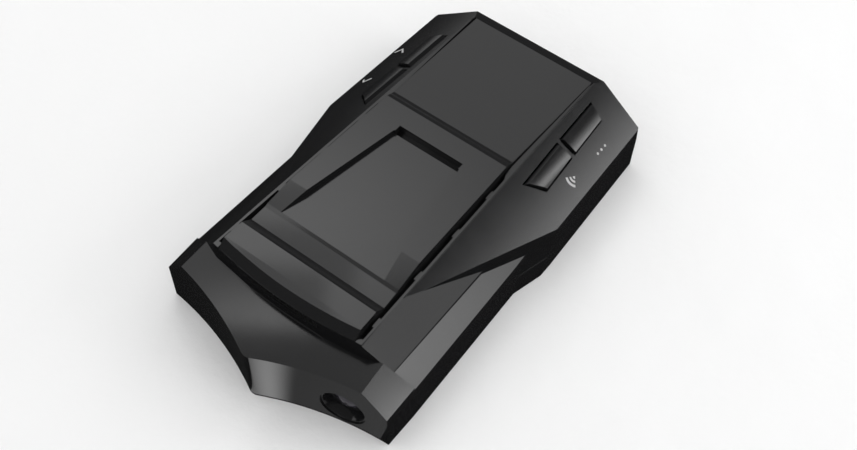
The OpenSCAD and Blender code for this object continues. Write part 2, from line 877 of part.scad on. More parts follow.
upper_housing();
lower_housing();
nose_cover();
slide_plate();
top_panel();
vent_insert();
display_bezel();
display_window();
display_module();
display_board();
button_up();
button_down();
button_menu();
button_wireless();
plunger_up();
plunger_down();
plunger_menu();
plunger_wireless();
key_board_left();
key_board_right();
key_switches_left();
key_switches_right();
lens_bezel();
laser_lens();
laser_sensor();
laser_board();
main_board();
processor();
memory_chip();
capacitors();
shield_can();
horn_antenna();
microwave_board();
gps_antenna();
wireless_module();
loudspeaker();
speaker_gasket();
backup_cell();
power_socket();
power_contact();
usb_socket();
rating_plate();
case_screws();
board_screws();
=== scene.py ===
"""Looks of a windscreen radar detector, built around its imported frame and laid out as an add-on.

X runs to the right, Y from the nose to the display end, Z up, in metres.
"""

import json
import math

import bmesh
import bpy
from bpy.props import FloatProperty, FloatVectorProperty, IntProperty, PointerProperty
from mathutils import Matrix, Vector


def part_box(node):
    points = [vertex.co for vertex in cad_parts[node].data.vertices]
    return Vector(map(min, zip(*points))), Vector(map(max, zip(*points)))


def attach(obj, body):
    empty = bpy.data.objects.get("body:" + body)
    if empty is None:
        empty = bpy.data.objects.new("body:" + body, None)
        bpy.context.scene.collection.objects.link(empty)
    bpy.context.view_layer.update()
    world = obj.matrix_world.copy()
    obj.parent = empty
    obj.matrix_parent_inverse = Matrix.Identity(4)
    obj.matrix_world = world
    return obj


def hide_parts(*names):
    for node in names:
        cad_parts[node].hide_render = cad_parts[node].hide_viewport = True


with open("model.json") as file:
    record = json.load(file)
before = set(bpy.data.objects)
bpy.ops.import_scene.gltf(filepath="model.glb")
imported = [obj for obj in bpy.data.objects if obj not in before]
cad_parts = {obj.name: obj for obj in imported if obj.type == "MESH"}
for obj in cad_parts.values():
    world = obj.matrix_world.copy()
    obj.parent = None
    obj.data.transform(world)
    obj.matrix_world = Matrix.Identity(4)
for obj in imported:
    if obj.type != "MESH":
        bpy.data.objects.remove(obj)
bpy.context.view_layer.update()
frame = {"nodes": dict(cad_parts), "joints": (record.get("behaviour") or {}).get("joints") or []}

bl_info = {
    "name": "Radar Detector",
    "version": (1, 0, 0),
    "blender": (4, 5, 0),
    "location": "3D View > Sidebar > Radar Detector",
    "description": "Finished shells, buttons, lens, display and stage of a windscreen radar detector",
    "category": "Object",
}

MM = 0.001
CASE = "case"

MERGE = 0.002 * MM              # corners closer together than this are one corner
FLAT = math.radians(0.6)        # two faces with a shallower fold than this are one flat face
CREASE = math.radians(14)       # a deeper fold than this is an edge that gets rounded
HARD_FOLD = math.radians(38)    # a deeper fold than this always breaks the shading
ROOM = 2.6                      # an edge shorter than this many radii isn't rounded
LARGE = 4 * MM * MM             # area from which a face counts as large and flat
NO_FACE = 1.0                   # an area that no face has, so that shallow folds stay smooth
SETTLE_ROUNDS = 4               # times that large faces are moved back onto their planes
SETTLE_REACH = 0.12 * MM        # how far a rounding may have moved a face off its plane
SAME_DIRECTION = 0.9998         # cosine between two normals that count as one direction
AHEAD = -0.5                    # cosine past which an edge carries on from a crease


# ---------------------------------------------------------------- settings

def colour_prop(name, description, default):
    return FloatVectorProperty(
        name=name, description=description, subtype="COLOR", size=3, min=0, max=1, default=default)


def length_prop(name, description, default):
    return FloatProperty(
        name=name, description=description, subtype="DISTANCE", unit="LENGTH", min=0, default=default)


def factor_prop(name, description, default):
    return FloatProperty(
        name=name, description=description, subtype="FACTOR", min=0, max=1, default=default)


def angle_prop(name, description, degrees):
    return FloatProperty(
        name=name, description=description, subtype="ANGLE", unit="ROTATION", default=math.radians(degrees))


class ShellSettings(bpy.types.PropertyGroup):
    case_edge: length_prop("Case edge", "Radius of the case's outer edges", 0.14 * MM)
    plate_edge: length_prop("Plate edge", "Radius of the slide plate's edges", 0.14 * MM)
    button_edge: length_prop("Button edge", "Radius of the button caps' edges", 0.16 * MM)
    edge_steps: IntProperty(
        name="Edge steps", description="Segments of each rounded edge", default=3, min=1)
    case_colour: colour_prop("Case colour", "Black of the case halves and the nose",
                             (0.006, 0.006, 0.0063))
    plate_colour: colour_prop("Plate colour", "Graphite of the slide plate and the top panel",
                              (0.008, 0.008, 0.0083))
    button_colour: colour_prop("Button colour", "Graphite of the button caps", (0.007, 0.007, 0.0073))
    grain: length_prop("Grain", "Size of the spark-eroded grain", 0.22 * MM)
    roughness: factor_prop("Roughness", "Roughness of the moulded plastic", 0.13)


class MarkSettings(bpy.types.PropertyGroup):
    ink_colour: colour_prop("Ink colour", "Pale grey of the printed symbols", (0.42, 0.42, 0.42))
    ink_height: length_prop("Ink height", "Thickness of the printed ink", 0.03 * MM)
    dot_size: length_prop("Dot radius", "Radius of each of the three dots", 0.38 * MM)
    dot_pitch: length_prop("Dot pitch", "Spacing of the three dots", 1.8 * MM)
    fan_size: length_prop("Fan radius", "Radius of the wireless symbol's outer arc", 3.2 * MM)
    arrow_size: length_prop("Arrow size", "Reach of each arm of the arrows", 2.1 * MM)


class GlassSettings(bpy.types.PropertyGroup):
    lens_colour: colour_prop("Lens colour", "Tint of the laser lens", (0.10, 0.09, 0.12))
    window_colour: colour_prop("Window colour", "Tint of the display window", (0.02, 0.008, 0.008))


class StageSettings(bpy.types.PropertyGroup):
    floor_colour: colour_prop("Floor colour", "Pale grey of the floor", (0.86, 0.86, 0.86))
    floor_size: length_prop("Floor size", "Side of the square floor", 6.0)
    lens: FloatProperty(
        name="Lens", description="Focal length of the camera in millimetres", unit="CAMERA", default=58.2)
    distance: length_prop("Distance", "From the camera to the point it looks at", 0.3827)
    azimuth: angle_prop("Azimuth", "Turn of the camera from the nose towards the right-hand side", 38.0)
    elevation: angle_prop("Elevation", "Height of the camera above the floor, as an angle", 55.1)
    roll: angle_prop("Roll", "Turn of the camera about its own axis", -0.31)


# ---------------------------------------------------------------- materials

def start_material(name):
    """A new material; returns it with its tree, its shader and a pattern vector on Object coordinates."""
    material = bpy.data.materials.new(name)
    material.use_nodes = True
    tree = material.node_tree
    shader = tree.nodes["Principled BSDF"]
    coords = tree.nodes.new("ShaderNodeTexCoord")
    mapping = tree.nodes.new("ShaderNodeMapping")
    tree.links.new(coords.outputs["Object"], mapping.inputs["Vector"])
    return material, tree, shader, mapping.outputs["Vector"]


def add_noise(tree, vector, size, detail=2.0, kind="ShaderNodeTexNoise"):
    """A noise whose features are about `size` metres across."""
    noise = tree.nodes.new(kind)
    noise.inputs["Scale"].default_value = 1.0 / size
    noise.inputs["Detail"].default_value = detail
    tree.links.new(vector, noise.inputs["Vector"])
    return noise


def add_range(tree, value, low, high, start=0.3, end=0.7):
    """Maps a 0..1 pattern to the range low..high."""
    mapped = tree.nodes.new("ShaderNodeMapRange")
    mapped.inputs["From Min"].default_value = start
    mapped.inputs["From Max"].default_value = end
    mapped.inputs["To Min"].default_value = low
    mapped.inputs["To Max"].default_value = high
    tree.links.new(value, mapped.inputs["Value"])
    return mapped.outputs["Result"]


def add_mottle(tree, shader, factor, colour, spread):
    """Base colour that wanders a little round `colour`."""
    mix = tree.nodes.new("ShaderNodeMix")
    mix.data_type = "RGBA"
    mix.inputs["A"].default_value = [c * (1 - spread) for c in colour] + [1]
    mix.inputs["B"].default_value = [min(1, c * (1 + spread)) for c in colour] + [1]
    tree.links.new(factor, mix.inputs["Factor"])
    tree.links.new(mix.outputs["Result"], shader.inputs["Base Color"])


def add_bump(tree, shader, height, strength, distance):
    """Relief `distance` metres high, drawn by a pattern."""
    bump = tree.nodes.new("ShaderNodeBump")
    bump.inputs["Strength"].default_value = strength
    bump.inputs["Distance"].default_value = distance
    tree.links.new(height, bump.inputs["Height"])
    tree.links.new(bump.outputs["Normal"], shader.inputs["Normal"])


def moulded_plastic(name, colour, roughness, grain, relief=0.06, coat=0.0):
    """Moulded plastic: fine spark-eroded grain, faint flow marks and slightly uneven gloss."""
    material, tree, shader, vector = start_material(name)
    flow = add_noise(tree, vector, 14 * MM, 3)
    add_mottle(tree, shader, flow.outputs["Fac"], colour, 0.10)
    smear = add_noise(tree, vector, 5 * MM, 4)
    gloss = add_range(tree, smear.outputs["Fac"], roughness * 0.93, roughness * 1.08)
    tree.links.new(gloss, shader.inputs["Roughness"])
    grains = add_noise(tree, vector, grain, 2)
    add_bump(tree, shader, grains.outputs["Fac"], relief, grain * 0.25)
    shader.inputs["Coat Weight"].default_value = coat
    shader.inputs["Coat Roughness"].default_value = 0.05
    shader.inputs["IOR"].default_value = 1.5
    return material


def worked_metal(name, colour, roughness, stretch=(1, 1, 12), grain=0.3 * MM):
    """Metal with drawn or brushed scratches along one direction."""
    material, tree, shader, vector = start_material(name)
    vector.node.inputs["Scale"].default_value = stretch
    brushed = add_noise(tree, vector, grain, 4)
    add_mottle(tree, shader, brushed.outputs["Fac"], colour, 0.12)
    tree.links.new(add_range(tree, brushed.outputs["Fac"], roughness * 0.8, roughness * 1.3),
                   shader.inputs["Roughness"])
    add_bump(tree, shader, brushed.outputs["Fac"], 0.15, grain * 0.1)
    shader.inputs["Metallic"].default_value = 1.0
    return material


def tinted_glass(name, colour, roughness, clear):
    """Tinted glass or clear plastic with faint wipe marks in its gloss."""
    material, tree, shader, vector = start_material(name)
    haze = add_noise(tree, vector, 6 * MM, 5)
    add_mottle(tree, shader, haze.outputs["Fac"], colour, 0.06)
    tree.links.new(add_range(tree, haze.outputs["Fac"], roughness, roughness * 2.2),
                   shader.inputs["Roughness"])
    shader.inputs["Transmission Weight"].default_value = clear
    shader.inputs["IOR"].default_value = 1.52
    shader.inputs["Coat Weight"].default_value = 1.0
    shader.inputs["Coat Roughness"].default_value = 0.01
    return material


def circuit_laminate(name, colour, track_colour):
    """Solder mask over copper: a cellular pattern of tracks and pads under a glossy varnish."""
    material, tree, shader, vector = start_material(name)
    cells = add_noise(tree, vector, 2.4 * MM, kind="ShaderNodeTexVoronoi")
    cells.feature = "DISTANCE_TO_EDGE"
    tracks = add_range(tree, cells.outputs["Distance"], 1, 0, 0.06, 0.10)
    mix = tree.nodes.new("ShaderNodeMix")
    mix.data_type = "RGBA"
    mix.inputs["A"].default_value = list(colour) + [1]
    mix.inputs["B"].default_value = list(track_colour) + [1]
    tree.links.new(tracks, mix.inputs["Factor"])
    tree.links.new(mix.outputs["Result"], shader.inputs["Base Color"])
    add_bump(tree, shader, tracks, 0.3, 0.03 * MM)
    shader.inputs["Roughness"].default_value = 0.3
    return material


def speckled(name, colour, roughness, size, spread):
    """Foam, ceramic, foil or ink: an even speckle of the given size."""
    material, tree, shader, vector = start_material(name)
    speck = add_noise(tree, vector, size, 6)
    add_mottle(tree, shader, speck.outputs["Fac"], colour, spread)
    tree.links.new(add_range(tree, speck.outputs["Fac"], roughness * 0.85, min(1, roughness * 1.15)),
                   shader.inputs["Roughness"])
    add_bump(tree, shader, speck.outputs["Fac"], 0.25, size * 0.15)
    return material


def give(piece, material):
    piece.data.materials.clear()
    piece.data.materials.append(material)


def give_nodes(material, *nodes):
    """Puts a material on CAD nodes that show as they are."""
    for node in nodes:
        give(frame["nodes"][node], material)


# ---------------------------------------------------------------- mesh helpers

def add_object(name, mesh):
    """Turns a bmesh into an object of the scene."""
    data = bpy.data.meshes.new(name)
    mesh.to_mesh(data)
    mesh.free()
    made = bpy.data.objects.new(name, data)
    bpy.context.scene.collection.objects.link(made)
    return made


def new_piece(name, mesh, body):
    """Turns a bmesh into a piece that rides on a body."""
    piece = add_object(name, mesh)
    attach(piece, body)
    return piece


def merged_copy(node):
    """The node's mesh with its loose triangles joined and its flat faces made whole."""
    mesh = bmesh.new()
    mesh.from_mesh(frame["nodes"][node].data)
    bmesh.ops.remove_doubles(mesh, verts=mesh.verts, dist=MERGE)
    bmesh.ops.dissolve_limit(mesh, angle_limit=FLAT, verts=mesh.verts, edges=mesh.edges)
    return mesh


def open_edges(mesh, radius):
    """Sharp edges with room for a rounding: long enough, and not next to a short sharp edge."""
    sharp = [e for e in mesh.edges if e.is_manifold and e.calc_face_angle(0) > CREASE]
    short = {v for e in sharp if e.calc_length() < ROOM * radius for v in e.verts}
    return [e for e in sharp if not short.intersection(e.verts)]


def round_edges(mesh, radius, steps):
    """Rounds the sharp edges that have room for it."""
    bmesh.ops.bevel(
        mesh, geom=open_edges(mesh, radius), offset=radius, offset_type="OFFSET", affect="EDGES",
        segments=steps, profile=0.5, material=-1, clamp_overlap=True)


def large_planes(mesh):
    """(normal, point) of every large flat face."""
    return [(f.normal.copy(), f.calc_center_median()) for f in mesh.faces if f.calc_area() > LARGE]


def settle_faces(mesh, planes):
    """Moves large faces back onto the planes that they had before their edges were rounded."""
    for _ in range(SETTLE_ROUNDS):
        for face in mesh.faces:
            if face.calc_area() < LARGE / 2:
                continue
            middle = face.calc_center_median()
            for normal, point in planes:
                off = abs((middle - point).dot(normal))
                if face.normal.dot(normal) > SAME_DIRECTION and off < SETTLE_REACH:
                    for v in face.verts:
                        v.co -= normal * (v.co - point).dot(normal)
                    break
    mesh.normal_update()


def smooth_shell(piece):
    """Smooth shading whose normals follow the large flat faces."""
    piece.data.polygons.foreach_set("use_smooth", [True] * len(piece.data.polygons))
    weighted = piece.modifiers.new("face weighted normals", "WEIGHTED_NORMAL")
    weighted.mode = "FACE_AREA"
    weighted.weight = 80
    weighted.keep_sharp = True


def mark_creases(mesh, flat_area):
    """Marks where shading breaks: at deep folds, and at shallow ones between two large flat faces."""
    for e in mesh.edges:
        fold = e.calc_face_angle(0) if e.is_manifold else 0
        large = e.is_manifold and min(f.calc_area() for f in e.link_faces) > flat_area
        e.smooth = not (fold > HARD_FOLD or (large and fold > FLAT))


def carry_creases(mesh, steps):
    """Carries each crease that stops at a rounded edge on across the rounding."""
    for _ in range(steps):
        found = []
        for v in mesh.verts:
            sharp = [e for e in v.link_edges if not e.smooth]
            if len(sharp) != 1:
                continue
            back = (sharp[0].other_vert(v).co - v.co).normalized()
            turns = [((e.other_vert(v).co - v.co).normalized().dot(back), e.index, e)
                     for e in v.link_edges if e.smooth]
            if turns and min(turns)[0] < AHEAD:
                found.append(min(turns)[2])
        for e in found:
            e.smooth = False


def finished_shell(node, material, radius, body=CASE, flat_area=LARGE):
    """A rounded copy of a CAD node, which it replaces; faces over `flat_area` keep their shallow folds."""
    settings = bpy.context.scene.radar_shell
    mesh = merged_copy(node)
    planes = large_planes(mesh)
    round_edges(mesh, radius, settings.edge_steps)
    settle_faces(mesh, planes)
    mark_creases(mesh, flat_area)
    mesh.edges.index_update()
    carry_creases(mesh, settings.edge_steps)
    piece = new_piece(node + "_shell", mesh, body)
    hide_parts(node)
    give(piece, material)
    smooth_shell(piece)
    return piece


def wing_frame(switch, side):
    """Frame on a switch's wing: X outwards down the slope, Y to the display end, Z out of the face."""
    joint = next(j for j in frame["joints"] if j["name"] == "press_" + switch)
    normal = -Vector(joint["axis"]).normalized()
    along = (Vector((0, 1, 0)) - normal.y * normal).normalized()
    outwards = along.cross(normal) * side
    housing = frame["nodes"]["upper_housing"].data
    faces = [p for p in housing.polygons if p.normal.dot(normal) > SAME_DIRECTION]
    area = sum(p.area for p in faces)
    height = sum(p.area * p.center.dot(normal) for p in faces) / area
    columns = Matrix((outwards, along, normal)).transposed().to_4x4()
    return Matrix.Translation(normal * height) @ columns


def place_on_wing(frame_matrix, mesh, x, y):
    """Moves a flat mark from the origin to the point of the wing's surface at x, y."""
    normal = frame_matrix.col[2].to_3d()
    z = (normal.dot(frame_matrix.translation) - normal.x * x - normal.y * y) / normal.z
    turn = frame_matrix.to_3x3().to_4x4()
    bmesh.ops.transform(mesh, matrix=Matrix.Translation((x, y, z)) @ turn, verts=mesh.verts)


def thicken_mark(mesh, height):
    """Gives a flat mark its ink thickness, half sunk into the surface."""
    bmesh.ops.recalc_face_normals(mesh, faces=mesh.faces)
    result = bmesh.ops.extrude_face_region(mesh, geom=mesh.faces[:])
    top = [v for v in result["geom"] if isinstance(v, bmesh.types.BMVert)]
    bmesh.ops.translate(mesh, verts=mesh.verts, vec=(0, 0, -height * 0.5))
    bmesh.ops.translate(mesh, verts=top, vec=(0, 0, height))
    bmesh.ops.recalc_face_normals(mesh, faces=mesh.faces)


# ---------------------------------------------------------------- operators

class RADAR_OT_case(bpy.types.Operator):
    """Rounds and finishes the two case halves and the nose"""

    bl_idname = "radar.make_case"
    bl_label = "Case and Nose"

    def execute(self, context):
        settings = context.scene.radar_shell
        case = moulded_plastic("Satin black case plastic", settings.case_colour, settings.roughness,
                               settings.grain)
        base = moulded_plastic("Matte black base plastic", settings.case_colour, settings.roughness + 0.08,
                               settings.grain * 1.4, relief=0.25)
        finished_shell("upper_housing", case, settings.case_edge)
        finished_shell("lower_housing", base, settings.case_edge)
        finished_shell("nose_cover", case, settings.case_edge,
                       flat_area=NO_FACE)
        return {"FINISHED"}


class RADAR_OT_plate(bpy.types.Operator):
    """Rounds and finishes the slide plate, the top panel and the vent insert"""

    bl_idname = "radar.make_plate"
    bl_label = "Slide Plate and Top Panel"

    def execute(self, context):
        settings = context.scene.radar_shell
        plate = moulded_plastic("Satin graphite plate plastic", settings.plate_colour, settings.roughness,
                                settings.grain)
        vent = moulded_plastic("Matte vent plastic", (0.004, 0.004, 0.004), 0.6, settings.grain, relief=0.3)
        finished_shell("slide_plate", plate, settings.plate_edge)
        finished_shell("top_panel", plate, settings.plate_edge)
        finished_shell("vent_insert", vent, settings.plate_edge * 0.5)
        return {"FINISHED"}


class RADAR_OT_buttons(bpy.types.Operator):
    """Rounds and finishes the four button caps"""

    bl_idname = "radar.make_buttons"
    bl_label = "Buttons"

    def execute(self, context):
        settings = context.scene.radar_shell
        cap = moulded_plastic("Satin graphite button plastic", settings.button_colour, settings.roughness,
                              settings.grain * 0.8)
        for node in ("button_up", "button_down", "button_menu", "button_wireless"):
            finished_shell(node, cap, settings.button_edge, node, flat_area=NO_FACE)
        return {"FINISHED"}


class RADAR_OT_marks(bpy.types.Operator):
    """Prints the three dots, the wireless fan and the two arrows beside the buttons"""

    bl_idname = "radar.make_marks"
    bl_label = "Printed Symbols"

    def execute(self, context):
        settings = context.scene.radar_marks
        self.ink = speckled("Pale grey printing ink", settings.ink_colour, 0.5, 0.08 * MM, 0.06)
        self.height = settings.ink_height
        self.add_dots(settings)
        self.add_fan(settings)
        self.add_arrow("arrow_rear_print", settings.arrow_size, 1, "up", 8.5 * MM, 1.0 * MM)
        self.add_arrow("arrow_front_print", settings.arrow_size, -1, "down", 8.4 * MM, 1.9 * MM)
        return {"FINISHED"}

    def finish(self, name, mesh, switch, outwards, rearwards):
        """Inks a flat mark on the wing, `outwards` and `rearwards` of the middle of a switch's button."""
        low, high = (Vector(corner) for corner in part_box("button_" + switch))
        middle = (low + high) / 2
        side = math.copysign(1, middle.x)
        thicken_mark(mesh, self.height)
        place_on_wing(wing_frame(switch, side), mesh, middle.x + side * outwards, middle.y + rearwards)
        if side < 0:
            # the left wing's frame is a mirror image, which turns a mark inside out
            bmesh.ops.recalc_face_normals(mesh, faces=mesh.faces)
        piece = new_piece(name, mesh, CASE)
        give(piece, self.ink)

    def add_dots(self, settings):
        mesh = bmesh.new()
        for i in (-1, 0, 1):
            place = Matrix.Translation((0, i * settings.dot_pitch, 0))
            bmesh.ops.create_circle(
                mesh, cap_ends=True, segments=24, radius=settings.dot_size, matrix=place)
        self.finish("menu_dots_print", mesh, "menu", 6.9 * MM, 0)

    def add_fan(self, settings):
        """A corner disc and two arcs, opening towards the nose."""
        first_side = math.radians(-122)
        spread = math.radians(74)
        reach = Matrix.Rotation(first_side, 3, "Z") @ Vector((settings.fan_size, 0, 0))
        mesh = bmesh.new()
        for inner, outer in ((0.001, 0.26), (0.42, 0.60), (0.78, 1.0)):  # as parts of the fan's radius
            ends = [mesh.verts.new(reach * inner), mesh.verts.new(reach * outer)]
            edge = mesh.edges.new(ends)
            bmesh.ops.spin(mesh, geom=ends + [edge], cent=(0, 0, 0), axis=(0, 0, 1),
                           angle=spread, steps=16, use_duplicate=False)
        bmesh.ops.remove_doubles(mesh, verts=mesh.verts, dist=0.02 * MM)
        self.finish("wireless_fan_print", mesh, "wireless", 5.7 * MM, 6.0 * MM)

    def add_arrow(self, name, size, direction, switch, outwards, rearwards):
        """Two arms that meet in a point towards the display end (direction 1) or the nose (-1)."""
        mesh = bmesh.new()
        thick = size * 0.27
        points = [(-size, -size), (-size + thick, -size - thick * 0.5), (0, -thick * 1.4),
                  (size - thick, -size - thick * 0.5), (size, -size), (0, 0)]
        verts = [mesh.verts.new((px, py * direction, 0)) for px, py in points]
        mesh.faces.new((verts[0], verts[1], verts[2], verts[5]))
        mesh.faces.new((verts[5], verts[2], verts[3], verts[4]))
        self.finish(name, mesh, switch, outwards, rearwards)


class RADAR_OT_lens(bpy.types.Operator):
    """Finishes the laser lens, its stepped ring and its sensor"""

    bl_idname = "radar.make_lens"
    bl_label = "Laser Lens"

    def execute(self, context):
        settings = context.scene.radar_glass
        ring = moulded_plastic("Gloss black lens ring", (0.006, 0.006, 0.0065), 0.18, 0.3 * MM,
                               relief=0.04, coat=0.6)
        glass = tinted_glass("Coated lens glass", settings.lens_colour, 0.015, 0.75)
        chip = moulded_plastic("Black chip resin", (0.012, 0.012, 0.013), 0.42, 0.12 * MM, relief=0.3)
        finished_shell("lens_bezel", ring, 0.08 * MM)
        lens = finished_shell("laser_lens", glass, 0.05 * MM)
        lens.name = "laser_lens_glass"
        give_nodes(chip, "laser_sensor")
        return {"FINISHED"}


class RADAR_OT_display(bpy.types.Operator):
    """Finishes the display's bezel, smoked window and module"""

    bl_idname = "radar.make_display"
    bl_label = "Display"

    def execute(self, context):
        settings = context.scene.radar_glass
        bezel = moulded_plastic("Gloss black bezel", (0.006, 0.006, 0.006), 0.12, 0.4 * MM,
                                relief=0.03, coat=0.8)
        window = tinted_glass("Smoked window", settings.window_colour, 0.02, 0.35)
        panel = moulded_plastic("Display glass", (0.012, 0.012, 0.016), 0.08, 0.5 * MM,
                                relief=0.02, coat=1.0)
        finished_shell("display_bezel", bezel, 0.15 * MM)
        finished_shell("display_window", window, 0.12 * MM)
        give_nodes(panel, "display_module")
        return {"FINISHED"}


class RADAR_OT_sockets(bpy.types.Operator):
    """Finishes the power and data sockets, the label and the case screws"""

    bl_idname = "radar.make_sockets"
    bl_label = "Sockets, Label and Screws"

    def execute(self, context):
        socket = moulded_plastic("Matte socket plastic", (0.008, 0.008, 0.008), 0.5, 0.15 * MM, relief=0.3)
        steel = worked_metal("Plated socket steel", (0.58, 0.58, 0.56), 0.28)
        foil = speckled("Blank label foil", (0.26, 0.26, 0.265), 0.42, 0.35 * MM, 0.05)
        screw = worked_metal("Black oxide screw steel", (0.09, 0.09, 0.095), 0.38, (1, 1, 1))
        finished_shell("power_socket", socket, 0.12 * MM)
        finished_shell("usb_socket", steel, 0.08 * MM)
        finished_shell("rating_plate", foil, 0.06 * MM)
        finished_shell("case_screws", screw, 0.08 * MM)
        return {"FINISHED"}


class RADAR_OT_inner(bpy.types.Operator):
    """Gives the boards, chips, horn, antennas, loudspeaker and switches their finishes"""

    bl_idname = "radar.finish_inner"
    bl_label = "Inner Parts"

    def execute(self, context):
        chip = moulded_plastic("Black package resin", (0.012, 0.012, 0.013), 0.45, 0.12 * MM, relief=0.3)
        post = moulded_plastic("Black switch plastic", (0.01, 0.01, 0.01), 0.4, 0.15 * MM, relief=0.2)
        give_nodes(circuit_laminate("Green circuit board", (0.008, 0.07, 0.025), (0.02, 0.13, 0.05)),
                   "main_board", "display_board", "key_board_left", "key_board_right", "laser_board")
        give_nodes(circuit_laminate("Pale microwave board", (0.62, 0.58, 0.40), (0.72, 0.50, 0.22)),
                   "microwave_board")
        give_nodes(chip, "processor", "memory_chip")
        give_nodes(post, "plunger_up", "plunger_down", "plunger_menu", "plunger_wireless")
        give_nodes(worked_metal("Tinned steel", (0.6, 0.6, 0.58), 0.3), "capacitors", "shield_can",
                   "wireless_module", "backup_cell", "key_switches_left", "key_switches_right")
        give_nodes(worked_metal("Die-cast zinc", (0.55, 0.55, 0.56), 0.45, (1, 1, 1), 0.6 * MM),
                   "horn_antenna")
        give_nodes(worked_metal("Bright screw steel", (0.62, 0.62, 0.6), 0.25, (1, 1, 1)), "board_screws")
        give_nodes(worked_metal("Gold plated contact", (0.8, 0.6, 0.25), 0.2), "power_contact")
        give_nodes(worked_metal("Satin loudspeaker steel", (0.3, 0.3, 0.3), 0.4), "loudspeaker")
        give_nodes(speckled("Gasket foam", (0.02, 0.02, 0.02), 0.9, 0.4 * MM, 0.4), "speaker_gasket")
        give_nodes(speckled("Antenna ceramic", (0.55, 0.5, 0.38), 0.55, 0.2 * MM, 0.08), "gps_antenna")
        return {"FINISHED"}


